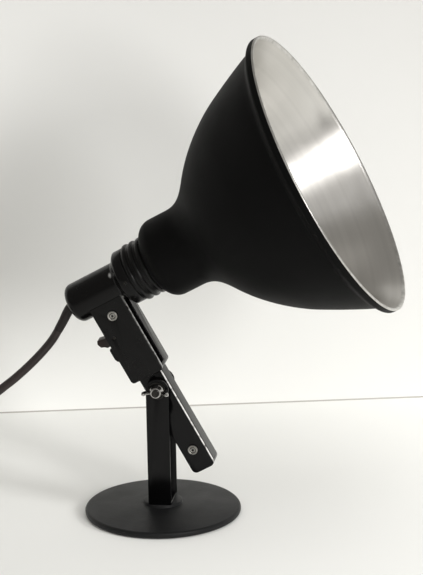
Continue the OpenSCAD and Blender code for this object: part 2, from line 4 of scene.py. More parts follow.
import bmesh
import bpy
from bpy.props import FloatProperty, FloatVectorProperty, PointerProperty
from bpy.types import Operator, Panel, PropertyGroup
from mathutils import Matrix, Vector


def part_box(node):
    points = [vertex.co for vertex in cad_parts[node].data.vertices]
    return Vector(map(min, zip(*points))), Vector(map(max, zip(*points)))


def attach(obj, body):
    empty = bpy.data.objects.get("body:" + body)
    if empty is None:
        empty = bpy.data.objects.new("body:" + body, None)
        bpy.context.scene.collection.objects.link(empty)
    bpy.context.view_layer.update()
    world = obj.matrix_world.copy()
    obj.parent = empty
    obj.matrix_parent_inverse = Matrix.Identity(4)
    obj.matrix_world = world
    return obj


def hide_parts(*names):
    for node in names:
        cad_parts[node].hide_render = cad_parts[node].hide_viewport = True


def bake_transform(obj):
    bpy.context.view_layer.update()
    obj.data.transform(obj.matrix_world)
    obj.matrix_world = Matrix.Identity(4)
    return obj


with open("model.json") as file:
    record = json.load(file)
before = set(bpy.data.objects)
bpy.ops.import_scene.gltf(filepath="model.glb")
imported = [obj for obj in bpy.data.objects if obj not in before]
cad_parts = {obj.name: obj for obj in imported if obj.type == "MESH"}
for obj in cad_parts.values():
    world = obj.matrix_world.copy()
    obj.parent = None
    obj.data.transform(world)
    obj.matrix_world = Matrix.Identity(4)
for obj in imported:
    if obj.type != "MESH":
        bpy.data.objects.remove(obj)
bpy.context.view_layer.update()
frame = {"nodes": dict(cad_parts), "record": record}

bl_info = {
    "name": "Tilting desk lamp",
    "version": (1, 0, 0),
    "blender": (4, 5, 0),
    "location": "3D View > Sidebar > Desk lamp",
    "description": "Builds a disc-footed desk lamp with a tilting grip and a spun bell reflector",
    "category": "Object",
}

MM = 0.001

# The head's own frame: x forward along the reflector's axis, y deep, z up the arm.
TILT = math.radians(28.8)
PIVOT_Z = 107.5
AXIS_A = 89.3
HEAD = Matrix.Translation((0, 0, PIVOT_Z)) @ Matrix.Rotation(-TILT, 4, "Y")
BARREL = HEAD @ Matrix.Translation((0, 0, AXIS_A))
UPRIGHT = Matrix.Rotation(-math.pi / 2, 4, "Y")


def node_size(node):
    """Width, depth and height of a node of the frame, in metres."""
    low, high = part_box(node)
    return [high[i] - low[i] for i in range(3)]


class LampSizes(PropertyGroup):
    base_diameter: FloatProperty(
        name="Base diameter", description="Across the disc base",
        default=node_size("base_disc")[0], unit="LENGTH")
    rim_diameter: FloatProperty(
        name="Rim diameter", description="Across the reflector's mouth",
        default=node_size("reflector")[1], unit="LENGTH")
    cord_diameter: FloatProperty(
        name="Cord diameter", description="Across the power cord",
        default=0.0068, unit="LENGTH")
    rivet_head: FloatProperty(
        name="Rivet head", description="Across the head of a tubular rivet",
        default=0.008, unit="LENGTH")
    edge_round: FloatProperty(
        name="Edge rounding", description="Rounding of the pressed and moulded edges",
        default=0.0006, unit="LENGTH")


class LampColours(PropertyGroup):
    base_paint: FloatVectorProperty(
        name="Base paint", description="Semi-gloss paint on the cast base",
        default=(0.0062, 0.0063, 0.0066), size=3, min=0, max=1, subtype="COLOR")
    arm_paint: FloatVectorProperty(
        name="Arm paint", description="Satin paint on the post and the arm",
        default=(0.0012, 0.0012, 0.0013), size=3, min=0, max=1, subtype="COLOR")
    shade_paint: FloatVectorProperty(
        name="Shade paint", description="Matte paint on the outside of the reflector",
        default=(0.0016, 0.0016, 0.0016), size=3, min=0, max=1, subtype="COLOR")
    moulding: FloatVectorProperty(
        name="Moulding", description="Phenolic moulding of the handle and barrel",
        default=(0.0010, 0.0009, 0.0009), size=3, min=0, max=1, subtype="COLOR")
    reflector: FloatVectorProperty(
        name="Reflector metal", description="Spun aluminium inside the reflector",
        default=(0.60, 0.585, 0.56), size=3, min=0, max=1, subtype="COLOR")
    cord: FloatVectorProperty(
        name="Cord", description="Rubber sheath of the power cord",
        default=(0.010, 0.0058, 0.0052), size=3, min=0, max=1, subtype="COLOR")


# ---- node helpers ----
def link_node(tree, kind, values=None, **settings):
    """Adds a node, sets its properties, then its inputs: numbers are set and sockets are linked."""
    node = tree.nodes.new(kind)
    for key, value in settings.items():
        setattr(node, key, value)
    for key, value in (values or {}).items():
        if isinstance(value, bpy.types.NodeSocket):
            tree.links.new(value, node.inputs[key])
        else:
            node.inputs[key].default_value = value
    return node


def new_group(name, inputs, outputs):
    """A shader node group with named sockets, and its inner input and output nodes."""
    tree = bpy.data.node_groups.new(name, "ShaderNodeTree")
    for label, kind, value in inputs:
        socket = tree.interface.new_socket(label, in_out="INPUT", socket_type=kind)
        if value is not None:
            socket.default_value = value
    for label, kind in outputs:
        tree.interface.new_socket(label, in_out="OUTPUT", socket_type=kind)
    return tree, tree.nodes.new("NodeGroupInput").outputs, tree.nodes.new("NodeGroupOutput").inputs


def grain_group():
    """Fine orange-peel grain and broad patches, for paint, mouldings and cast faces."""
    tree, given, out = new_group(
        "Grain",
        [("Vector", "NodeSocketVector", None), ("Grain scale", "NodeSocketFloat", 900.0),
         ("Patch scale", "NodeSocketFloat", 30.0)],
        [("Height", "NodeSocketFloat"), ("Patches", "NodeSocketFloat")])
    fine = link_node(tree, "ShaderNodeTexNoise", {
        "Vector": given["Vector"], "Scale": given["Grain scale"], "Detail": 3.0, "Roughness": 0.6})
    broad = link_node(tree, "ShaderNodeTexNoise", {
        "Vector": given["Vector"], "Scale": given["Patch scale"], "Detail": 5.0, "Roughness": 0.65})
    spread = link_node(tree, "ShaderNodeMapRange", {
        "Value": broad.outputs["Fac"], "From Min": 0.35, "From Max": 0.68})
    tree.links.new(fine.outputs["Fac"], out["Height"])
    tree.links.new(spread.outputs["Result"], out["Patches"])
    return tree


def specks_group():
    """Scattered dust specks and short scratches."""
    tree, given, out = new_group(
        "Specks",
        [("Vector", "NodeSocketVector", None), ("Scale", "NodeSocketFloat", 420.0),
         ("Amount", "NodeSocketFloat", 0.12)],
        [("Mask", "NodeSocketFloat")])
    cells = link_node(tree, "ShaderNodeTexVoronoi", {
        "Vector": given["Vector"], "Scale": given["Scale"], "Randomness": 1.0})
    limit = link_node(tree, "ShaderNodeMath", {
        0: cells.outputs["Distance"], 1: given["Amount"]}, operation="LESS_THAN")
    rare = link_node(tree, "ShaderNodeTexNoise", {
        "Vector": given["Vector"], "Scale": 140.0, "Detail": 2.0})
    few = link_node(tree, "ShaderNodeMapRange", {
        "Value": rare.outputs["Fac"], "From Min": 0.52, "From Max": 0.66})
    both = link_node(tree, "ShaderNodeMath", {
        0: limit.outputs[0], 1: few.outputs["Result"]}, operation="MULTIPLY")
    tree.links.new(both.outputs[0], out["Mask"])
    return tree


def turned_group():
    """Fine rings about the X axis, as a spinning or turning tool leaves them."""
    tree, given, out = new_group(
        "Turned rings",
        [("Vector", "NodeSocketVector", None), ("Rings", "NodeSocketFloat", 900.0)],
        [("Height", "NodeSocketFloat"), ("Bands", "NodeSocketFloat")])
    parts = link_node(tree, "ShaderNodeSeparateXYZ", {0: given["Vector"]})
    square_y = link_node(tree, "ShaderNodeMath", {
        0: parts.outputs["Y"], 1: parts.outputs["Y"]}, operation="MULTIPLY")
    square_z = link_node(tree, "ShaderNodeMath", {
        0: parts.outputs["Z"], 1: parts.outputs["Z"], 2: square_y.outputs[0]},
        operation="MULTIPLY_ADD")
    radius = link_node(tree, "ShaderNodeMath", {0: square_z.outputs[0]}, operation="SQRT")
    along = link_node(tree, "ShaderNodeMath", {
        0: parts.outputs["X"], 1: radius.outputs[0]}, operation="ADD")
    place = link_node(tree, "ShaderNodeMath", {
        0: along.outputs[0], 1: given["Rings"]}, operation="MULTIPLY")
    lines = link_node(tree, "ShaderNodeTexNoise", {
        "W": place.outputs[0], "Scale": 1.0, "Detail": 3.0, "Roughness": 0.7},
        noise_dimensions="1D")
    slow = link_node(tree, "ShaderNodeMath", {0: place.outputs[0], 1: 0.06}, operation="MULTIPLY")
    bands = link_node(tree, "ShaderNodeTexNoise", {
        "W": slow.outputs[0], "Scale": 1.0, "Detail": 2.0}, noise_dimensions="1D")
    tree.links.new(lines.outputs["Fac"], out["Height"])
    tree.links.new(bands.outputs["Fac"], out["Bands"])
    return tree


def worn_highlight_group():
    """Paint worn through along one straight edge of the arm or handle, carrying a painted
    highlight: the pale stripe also stands in for the shine of the rounded edge.
    """
    tree, given, out = new_group(
        "Worn edge highlight",
        [("Vector", "NodeSocketVector", None), ("Edge", "NodeSocketVector", None),
         ("Reach", "NodeSocketFloat", 0.0009)],
        [("Mask", "NodeSocketFloat")])
    tilted = link_node(tree, "ShaderNodeMapping", {
        "Vector": given["Vector"], "Location": (HEAD @ Vector((0, 0, 0))) * MM,
        "Rotation": (0, -TILT, 0)}, vector_type="TEXTURE")
    across = link_node(tree, "ShaderNodeVectorMath", {
        0: tilted.outputs["Vector"], 1: (1, 1, 0)}, operation="MULTIPLY")
    away = link_node(tree, "ShaderNodeVectorMath", {
        0: across.outputs["Vector"], 1: given["Edge"]}, operation="DISTANCE")
    close = link_node(tree, "ShaderNodeMapRange", {
        "Value": away.outputs["Value"], "From Max": given["Reach"], "To Min": 1.0, "To Max": 0.0})
    broken = link_node(tree, "ShaderNodeTexNoise", {
        "Vector": given["Vector"], "Scale": 240.0, "Detail": 4.0})
    kept = link_node(tree, "ShaderNodeMapRange", {
        "Value": broken.outputs["Fac"], "From Min": 0.34, "From Max": 0.52})
    both = link_node(tree, "ShaderNodeMath", {
        0: close.outputs["Result"], 1: kept.outputs["Result"]}, operation="MULTIPLY")
    tree.links.new(both.outputs[0], out["Mask"])
    return tree


GROUPS = {}


def effect(tree, name, values):
    """Places a shared effect in a material with its own values."""
    builders = {"Grain": grain_group, "Specks": specks_group, "Turned rings": turned_group,
                "Worn edge highlight": worn_highlight_group}
    if name not in GROUPS:
        GROUPS[name] = builders[name]()
    node = tree.nodes.new("ShaderNodeGroup")
    node.node_tree = GROUPS[name]
    for key, value in values.items():
        if isinstance(value, bpy.types.NodeSocket):
            tree.links.new(value, node.inputs[key])
        else:
            node.inputs[key].default_value = value
    return node


def start_material(name, along_axis=False):
    """A new material: its tree, its Principled shader and its object coordinates."""
    material = bpy.data.materials.new(name)
    material.use_nodes = True
    tree = material.node_tree
    shader = tree.nodes["Principled BSDF"]
    coords = link_node(tree, "ShaderNodeTexCoord").outputs["Object"]
    if along_axis:
        turn = link_node(tree, "ShaderNodeMapping", {
            "Vector": coords, "Location": (BARREL @ Vector((0, 0, 0))) * MM,
            "Rotation": (0, -TILT, 0)}, vector_type="TEXTURE")
        coords = turn.outputs["Vector"]
    return material, tree, shader, coords


def mixed(tree, mask, low, high):
    """A colour that runs from low to high with a mask."""
    mix = tree.nodes.new("ShaderNodeMix")
    mix.data_type = "RGBA"
    mix.inputs[6].default_value = (*low, 1)
    mix.inputs[7].default_value = (*high, 1)
    tree.links.new(mask, mix.inputs[0])
    return mix.outputs[2]


def ranged(tree, value, low, high):
    """A mask spread over a range of numbers."""
    return link_node(tree, "ShaderNodeMapRange", {
        "Value": value, "To Min": low, "To Max": high}).outputs["Result"]


def bumped(tree, shader, height, distance, strength=1.0):
    bump = link_node(tree, "ShaderNodeBump", {
        "Height": height, "Distance": distance, "Strength": strength})
    tree.links.new(bump.outputs["Normal"], shader.inputs["Normal"])


def coated(name, colour, lift, rough, grain, bump, patch=30.0, dust=0.25, specular=0.5,
           dust_colour=(0.10, 0.095, 0.085), worn_highlight=None):
    """Paint or moulding: grained, unevenly glossy, with a little dust, and where asked a worn edge
    with a painted highlight.
    """
    material, tree, shader, coords = start_material(name)
    grained = effect(tree, "Grain", {"Vector": coords, "Grain scale": grain, "Patch scale": patch})
    specks = effect(tree, "Specks", {"Vector": coords, "Scale": 520.0, "Amount": 0.16})
    brighter = [min(1.0, c * lift) for c in colour]
    ground = mixed(tree, grained.outputs["Patches"], colour, brighter)
    mix = tree.nodes.new("ShaderNodeMix")
    mix.data_type = "RGBA"
    mix.inputs[7].default_value = (*dust_colour, 1)
    dusty = link_node(tree, "ShaderNodeMath", {
        0: specks.outputs["Mask"], 1: dust}, operation="MULTIPLY")
    tree.links.new(dusty.outputs[0], mix.inputs[0])
    tree.links.new(ground, mix.inputs[6])
    tree.links.new(mix.outputs[2], shader.inputs["Base Color"])
    # an optional pale stripe along one edge: worn paint and a painted highlight, standing in for
    # the shine of the rounded edge
    if worn_highlight:
        edge, reach, bare = worn_highlight
        highlight_mask = effect(tree, "Worn edge highlight", {
            "Vector": coords, "Edge": Vector(edge) * MM, "Reach": reach * MM})
        bright = tree.nodes.new("ShaderNodeMix")
        bright.data_type = "RGBA"
        bright.inputs[7].default_value = (*bare, 1)
        tree.links.new(highlight_mask.outputs["Mask"], bright.inputs[0])
        tree.links.new(mix.outputs[2], bright.inputs[6])
        tree.links.new(bright.outputs[2], shader.inputs["Base Color"])
    tree.links.new(ranged(tree, grained.outputs["Patches"], *rough), shader.inputs["Roughness"])
    shader.inputs["Specular IOR Level"].default_value = specular
    bumped(tree, shader, grained.outputs["Height"], bump)
    return material


def plated(name, colour, dull, rough, grain=700.0, bump=0.00002):
    """Bare or plated metal with dull patches."""
    material, tree, shader, coords = start_material(name)
    grained = effect(tree, "Grain", {"Vector": coords, "Grain scale": grain, "Patch scale": 160.0})
    tree.links.new(mixed(tree, grained.outputs["Patches"], colour, dull),
                   shader.inputs["Base Color"])
    tree.links.new(ranged(tree, grained.outputs["Patches"], *rough), shader.inputs["Roughness"])
    shader.inputs["Metallic"].default_value = 1.0
    bumped(tree, shader, grained.outputs["Height"], bump)
    return material


def spun_metal(name, colour, anisotropy=0.0, turn=0.0, rough=(0.30, 0.42), rings=2600.0,
               bump=0.000006):
    """Spun aluminium: rings about the axis and a soft, streaky shine."""
    material, tree, shader, coords = start_material(name, along_axis=True)
    rings_node = effect(tree, "Turned rings", {"Vector": coords, "Rings": rings})
    grained = effect(tree, "Grain", {"Vector": coords, "Grain scale": 1500.0, "Patch scale": 14.0})
    dull = [c * 0.86 for c in colour]
    tree.links.new(mixed(tree, rings_node.outputs["Bands"], dull, colour),
                   shader.inputs["Base Color"])
    tree.links.new(ranged(tree, grained.outputs["Patches"], *rough), shader.inputs["Roughness"])
    shader.inputs["Metallic"].default_value = 1.0
    if anisotropy:
        shader.inputs["Anisotropic"].default_value = anisotropy
        shader.inputs["Anisotropic Rotation"].default_value = turn
        tangent = link_node(tree, "ShaderNodeTangent", direction_type="UV_MAP", uv_map="Around")
        tree.links.new(tangent.outputs["Tangent"], shader.inputs["Tangent"])
    height = link_node(tree, "ShaderNodeMath", {
        0: grained.outputs["Height"], 1: 0.5, 2: rings_node.outputs["Height"]},
        operation="MULTIPLY_ADD")
    bumped(tree, shader, height.outputs[0], bump)
    return material


def glass(name):
    """Frosted glass with faint unevenness."""
    material, tree, shader, coords = start_material(name)
    grained = effect(tree, "Grain", {"Vector": coords, "Grain scale": 1200.0, "Patch scale": 40.0})
    tree.links.new(mixed(tree, grained.outputs["Patches"], (0.93, 0.93, 0.91), (0.97, 0.97, 0.96)),
                   shader.inputs["Base Color"])
    tree.links.new(ranged(tree, grained.outputs["Patches"], 0.42, 0.5), shader.inputs["Roughness"])
    shader.inputs["Transmission Weight"].default_value = 0.75
    shader.inputs["IOR"].default_value = 1.45
    bumped(tree, shader, grained.outputs["Height"], 0.00002)
    return material


def cord_rubber(name, colour):
    """Rubber sheath: satin, faintly ribbed along its length, scuffed in places."""
    material, tree, shader, coords = start_material(name)
    around = link_node(tree, "ShaderNodeUVMap", uv_map="Around").outputs["UV"]
    ribs = link_node(tree, "ShaderNodeTexNoise", {
        "Vector": link_node(tree, "ShaderNodeMapping", {
            "Vector": around, "Scale": (14.0, 30.0, 1.0)}).outputs["Vector"],
        "Scale": 1.0, "Detail": 3.0})
    grained = effect(tree, "Grain", {"Vector": coords, "Grain scale": 1300.0, "Patch scale": 60.0})
    lighter = [min(1.0, c * 2.0 + 0.004) for c in colour]
    tree.links.new(mixed(tree, grained.outputs["Patches"], colour, lighter),
                   shader.inputs["Base Color"])
    tree.links.new(ranged(tree, grained.outputs["Patches"], 0.42, 0.6), shader.inputs["Roughness"])
    height = link_node(tree, "ShaderNodeMath", {
        0: grained.outputs["Height"], 1: 0.4, 2: ribs.outputs["Fac"]}, operation="MULTIPLY_ADD")
    bumped(tree, shader, height.outputs[0], 0.00005)
    return material


FINISHES = {}


def make_finishes(colours):
    """One material for each finish in the record, and those that only pieces use."""
    arm = tuple(colours.arm_paint)
    mould = tuple(colours.moulding)
    FINISHES.update({
        "base_paint": coated("Base paint", tuple(colours.base_paint), 1.3, (0.40, 0.52), 700.0,
                             0.00016, patch=24.0, dust=0.3, specular=0.2),
        # the arm's and the handle's pale edge stripes are worn paint with a painted highlight along
        # their front edges
        "black_paint": coated("Arm paint", arm, 1.4, (0.16, 0.26), 1100.0, 0.00003,
                              dust=0.05, specular=0.2,
                              worn_highlight=((9.5, -8.5, 0), 0.9, (0.78, 0.77, 0.74))),
        "black_moulding": coated("Handle moulding", mould, 1.6, (0.18, 0.30), 800.0, 0.00003,
                                 patch=45.0, dust=0.08, specular=0.2,
                                 worn_highlight=((13.6, -12.6, 0), 1.7, (0.42, 0.42, 0.41))),
        "collar_moulding": coated("Collar moulding", mould, 1.5, (0.24, 0.34), 800.0, 0.00002,
                                  dust=0.08, specular=0.2),
        "switch_moulding": coated("Switch moulding", (0.012, 0.0065, 0.005), 1.6, (0.3, 0.42),
                                  900.0, 0.00002, specular=0.3),
        "inner_moulding": coated("Inner moulding", (0.05, 0.05, 0.05), 1.3, (0.5, 0.6), 900.0,
                                 0.00002),
        "shade_paint": coated("Shade paint", tuple(colours.shade_paint), 1.35, (0.55, 0.66),
                              1500.0, 0.00005, patch=12.0, dust=0.08, specular=0.08),
        "reflector_metal": spun_metal("Reflector metal", tuple(colours.reflector), 0.6, 0.25),
        "rim_metal": plated("Bare rim", (0.62, 0.61, 0.59), (0.42, 0.41, 0.39), (0.3, 0.38)),
        "bright_metal": plated("Plated steel", (0.50, 0.49, 0.46), (0.28, 0.27, 0.25),
                               (0.22, 0.36)),
        "dark_metal": plated("Oxidised steel", (0.05, 0.048, 0.045), (0.02, 0.019, 0.018),
                             (0.35, 0.5)),
        "chrome_metal": plated("Chrome plate", (0.62, 0.61, 0.60), (0.30, 0.29, 0.28),
                               (0.10, 0.24)),
        "brass_metal": plated("Brass", (0.72, 0.54, 0.24), (0.5, 0.36, 0.15), (0.28, 0.42)),
        "ceramic_white": coated("Glazed ceramic", (0.78, 0.76, 0.7), 1.1, (0.15, 0.22), 500.0,
                                0.00002),
        "pad_rubber": coated("Foot pad", (0.012, 0.012, 0.012), 1.5, (0.75, 0.85), 1200.0,
                             0.00008),
        "fibre": coated("Red fibre", (0.14, 0.04, 0.025), 1.4, (0.5, 0.65), 1500.0, 0.00004),
        "cord_sheath": cord_rubber("Cord sheath", tuple(colours.cord)),
        "cord_rubber": coated("Strain relief rubber", (0.008, 0.0055, 0.005), 1.5, (0.45, 0.58),
                              1300.0, 0.00003, specular=0.35),
        "brown_sheath": coated("Brown lead", (0.15, 0.06, 0.03), 1.3, (0.4, 0.5), 1300.0,
                               0.00002),
        "blue_sheath": coated("Blue lead", (0.02, 0.06, 0.26), 1.3, (0.4, 0.5), 1300.0, 0.00002),
        "plug_moulding": coated("Plug moulding", (0.014, 0.014, 0.015), 1.4, (0.42, 0.55),
                                1000.0, 0.00003),
        "bulb_glass": glass("Frosted glass"),
    })


# small parts given the near-black oxidised-steel finish in place of the one the record names
DARKENED = ("switch_pin", "set_screw", "pivot_bolt", "wing_washer", "arm_rivet", "handle_rivet")


def dress_nodes():
    """Gives each carried-over node the finish that the record names for it."""
    slots = {part["node"]: part.get("material_slot") for part in frame["record"]["subparts"]}
    for name, node in frame["nodes"].items():
        material = FINISHES["dark_metal" if name in DARKENED else slots[name]]
        if not node.material_slots:
            node.data.materials.append(material)
        for slot in node.material_slots:
            slot.material = material


# ---- mesh helpers ----
def add_piece(name, body, replaced, build, materials):
    """Makes a mesh piece from a bmesh builder, in metres, and fastens it to a body."""
    mesh = bpy.data.meshes.new(name)
    bm = bmesh.new()
    build(bm)
    bmesh.ops.transform(bm, matrix=Matrix.Scale(MM, 4), verts=bm.verts)
    bm.to_mesh(mesh)
    bm.free()
    return settle(name, mesh, body, replaced, materials)


def settle(name, mesh, body, replaced, materials):
    for key in materials:
        mesh.materials.append(FINISHES[key])
    mesh.polygons.foreach_set("use_smooth", [True] * len(mesh.polygons))
    mesh.set_sharp_from_angle(angle=math.radians(32))
    piece = bpy.data.objects.new(name, mesh)
    bpy.context.scene.collection.objects.link(piece)
    if body:
        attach(piece, body)
    if replaced:
        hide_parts(*replaced)
    return piece


def spin_outline(bm, outline, place, steps=96):
    """Spins a closed outline of (along, radius, finish) about the X axis of place."""
    uv = bm.loops.layers.uv.get("Around") or bm.loops.layers.uv.new("Around")
    rings = []
    for along, radius, _ in outline:
        if radius < 1e-6:
            pole = bm.verts.new(place @ Vector((along, 0, 0)))
            rings.append([pole] * steps)
            continue
        rings.append([bm.verts.new(place @ Vector((
            along, radius * math.cos(2 * math.pi * k / steps),
            radius * math.sin(2 * math.pi * k / steps)))) for k in range(steps)])
    length = 0.0
    made = []
    for i, point in enumerate(outline):
        j = (i + 1) % len(outline)
        reach = math.hypot(outline[j][0] - point[0], outline[j][1] - point[1])
        for k in range(steps):
            n = (k + 1) % steps
            corners = [(rings[i][k], k, length), (rings[i][n], k + 1, length),
                       (rings[j][n], k + 1, length + reach), (rings[j][k], k, length + reach)]
            kept = []
            for corner in corners:
                if all(corner[0] is not other[0] for other in kept):
                    kept.append(corner)
            if len(kept) < 3:
                continue
            face = bm.faces.new([c[0] for c in kept])
            face.material_index = point[2]
            for loop, (_, step, distance) in zip(face.loops, kept):
                loop[uv].uv = (step / steps, distance * 0.01)
            made.append(face)
        length += reach
    bmesh.ops.recalc_face_normals(bm, faces=made)


def sweep_tube(bm, path, radii, sides=12, finish=0):
    """A closed tube along a path, with its length in its own coordinates."""
    uv = bm.loops.layers.uv.get("Around") or bm.loops.layers.uv.new("Around")
    count = len(path)
    rings, run = [], [0.0]
    side = None
    for i in range(count):
        ahead = (path[min(i + 1, count - 1)] - path[max(i - 1, 0)]).normalized()
        if side is None:
            side = Vector((0, 0, 1)).cross(ahead).normalized()
        side = (side - ahead * side.dot(ahead)).normalized()
        up = ahead.cross(side)
        rings.append([bm.verts.new(path[i] + radii[i] * (
            math.cos(2 * math.pi * k / sides) * side + math.sin(2 * math.pi * k / sides) * up))
            for k in range(sides)])
        if i:
            run.append(run[-1] + (path[i] - path[i - 1]).length)
    for i in range(count - 1):
        for k in range(sides):
            n = (k + 1) % sides
            face = bm.faces.new([rings[i][k], rings[i][n], rings[i + 1][n], rings[i + 1][k]])
            face.material_index = finish
            for loop, (u, v) in zip(face.loops, ((k, i), (k + 1, i), (k + 1, i + 1), (k, i + 1))):
                loop[uv].uv = (u / sides, run[v] * 0.01)
    bm.faces.new(list(reversed(rings[0])))
    bm.faces.new(rings[-1])
    bmesh.ops.recalc_face_normals(bm, faces=bm.faces)


def softened(node, name, width, finish, body, segments=2, limit=28):
    """A copy of a node with its sharp edges rounded over, which stands for the node."""
    source = frame["nodes"][node]
    mesh = bpy.data.meshes.new(name)
    bm = bmesh.new()
    bm.from_mesh(source.data)
    bmesh.ops.remove_doubles(bm, verts=bm.verts, dist=2e-6)
    bmesh.ops.dissolve_limit(bm, angle_limit=math.radians(0.6), verts=bm.verts, edges=bm.edges)
    edges = [e for e in bm.edges
             if e.is_manifold and e.calc_face_angle(0) > math.radians(limit)]
    bmesh.ops.bevel(bm, geom=edges, offset=width, segments=segments, profile=0.6,
                    affect="EDGES", clamp_overlap=False)
    bmesh.ops.remove_doubles(bm, verts=bm.verts, dist=1e-6)
    bmesh.ops.recalc_face_normals(bm, faces=bm.faces)
    for face in bm.faces:
        face.material_index = 0
    bm.to_mesh(mesh)
    bm.free()
    return settle(name, mesh, body, [node], [finish])


def bezier(points, count):
    """Points along one Bezier stretch of four (along, radius) controls, its end left off."""
    out = []
    for i in range(count):
        t = i / count
        s = 1 - t
        out.append(tuple(s ** 3 * points[0][k] + 3 * s * s * t * points[1][k]
                         + 3 * s * t * t * points[2][k] + t ** 3 * points[3][k]
                         for k in range(2)))
    return out


def arc(centre, radius, start, end, count):
    """Points on an arc, angles in degrees, both ends kept."""
    return [(centre[0] + radius * math.cos(math.radians(start + (end - start) * i / count)),
             centre[1] + radius * math.sin(math.radians(start + (end - start) * i / count)))
            for i in range(count + 1)]


# ---- cord ----
CORD_D = 6.8
EXIT_X = -AXIS_A * math.sin(TILT) - 30 * math.cos(TILT)
EXIT_Z = PIVOT_Z + AXIS_A * math.cos(TILT) - 30 * math.sin(TILT)
# distance behind the barrel's end, share of that end's height
DROP = ((0, 1), (2.2, 0.983), (4.6, 0.9585), (7.7, 0.9215), (11.9, 0.8765), (16.8, 0.829),
        (23, 0.782), (29.7, 0.7375), (36.5, 0.696), (43.5, 0.6565), (50.6, 0.619),
        (58.5, 0.581), (68, 0.533), (80, 0.462), (92, 0.385), (104.7, 0.303), (118, 0.221),
        (132, 0.145), (147, 0.081), (163, 0.034), (180, 0.008), (196.7, 0), (207, 0))
COIL_R = 42
COIL_X = EXIT_X - 230.7
COIL_Y = -COIL_R - CORD_D
PLUG_Y = COIL_Y - COIL_R - 2 * CORD_D - 1.5


def coil_points():
    """The wound cord: three rows of turns, then off the outside to the plug."""
    outer, middle, inner = COIL_R + CORD_D, COIL_R, COIL_R - CORD_D
    off = outer + CORD_D + 1.5
    low, mid, top = CORD_D / 2, CORD_D * 1.5, CORD_D * 2.5
    # angle where a change of place ends, over how many degrees, radius, height
    changes = ((450, 100, middle, low), (810, 110, inner, low), (1110, 90, inner, mid),
               (1410, 110, middle, mid), (1770, 110, outer, mid), (2070, 90, outer, top),
               (2180, 110, middle, top), (2360, 150, off, top - 0.6), (2428, 68, off, 7.0))
    points = []
    angle, radius, height = 90.0, outer, low

    def put(turn, r, z):
        t = math.radians(turn)
        points.append(Vector((COIL_X + r * math.cos(t), COIL_Y + r * math.sin(t), z)))

    for end, span, next_r, next_z in changes:
        while angle < end - span:
            put(angle, radius, height)
            angle += 10
        start = end - span
        steps = span // 6
        for i in range(steps):
            share = i / steps
            blend = share * share * (3 - 2 * share)
            put(start + span * share, radius + (next_r - radius) * blend,
                height + (next_z - height) * blend)
        angle, radius, height = end, next_r, next_z
    put(angle, radius, height)
    points.append(Vector((COIL_X + 4, PLUG_Y, 7)))
    points.append(Vector((COIL_X + 14, PLUG_Y, 7)))
    points.append(Vector((COIL_X + 26, PLUG_Y, 7)))
    return points


def smooth_path(points, spacing):
    """A Catmull-Rom path through the points, with a point about every spacing."""
    out = []
    for i in range(len(points) - 1):
        a = points[max(i - 1, 0)]
        b, c = points[i], points[i + 1]
        d = points[min(i + 2, len(points) - 1)]
        count = max(1, round((c - b).length / spacing))
        for k in range(count):
            t = k / count
            out.append(0.5 * (2 * b + (c - a) * t + (2 * a - 5 * b + 4 * c - d) * t * t
                              + (3 * b - a - 3 * c + d) * t ** 3))
    out.append(points[-1])
    return out


def cord_path():
    radius = CORD_D / 2
    drop = [Vector((EXIT_X - back, 0, radius + (EXIT_Z - radius) * share))
            for back, share in DROP]
    return smooth_path(drop + coil_points(), 3.0)


class DESKLAMP_OT_camera(Operator):
    """Places the camera"""
    bl_idname = "desk_lamp.camera"
    bl_label = "Camera"

    def execute(self, context):
        azimuth, elevation, roll = (math.radians(v) for v in (9.403, 16.513, -1.075))
        back = Vector((math.sin(azimuth) * math.cos(elevation),
                       -math.cos(azimuth) * math.cos(elevation), math.sin(elevation)))
        right = Vector((math.cos(azimuth), math.sin(azimuth), 0))
        up = back.cross(right)
        turned = math.cos(roll) * right + math.sin(roll) * up
        over = -math.sin(roll) * right + math.cos(roll) * up
        data = bpy.data.cameras.new("Camera")
        data.lens = 183.74
        data.sensor_width = 36
        data.clip_end = 50
        camera = bpy.data.objects.new("Camera", data)
        place = Matrix((turned, over, back)).transposed().to_4x4()
        place.translation = Vector((0.042709, 0, 0.1894)) + 2.3 * back
        camera.matrix_world = place
        context.scene.collection.objects.link(camera)
        context.scene.camera = camera
        return {"FINISHED"}


def superellipse(bm, sections, sides=28):
    """A closed skin over sections of (x, half width, half height, squareness)."""
    rings = []
    for x, wide, high, power in sections:
        ring = []
        for k in range(sides):
            t = 2 * math.pi * k / sides
            c, s = math.cos(t), math.sin(t)
            ring.append(bm.verts.new((
                COIL_X + x, PLUG_Y + wide * math.copysign(abs(c) ** (2 / power), c),
                7 + high * math.copysign(abs(s) ** (2 / power), s))))
        rings.append(ring)
    for first, second in zip(rings, rings[1:]):
        for k in range(sides):
            n = (k + 1) % sides
            bm.faces.new([first[k], first[n], second[n], second[k]])
    bm.faces.new(rings[0])
    bm.faces.new(rings[-1])
    bmesh.ops.recalc_face_normals(bm, faces=bm.faces)


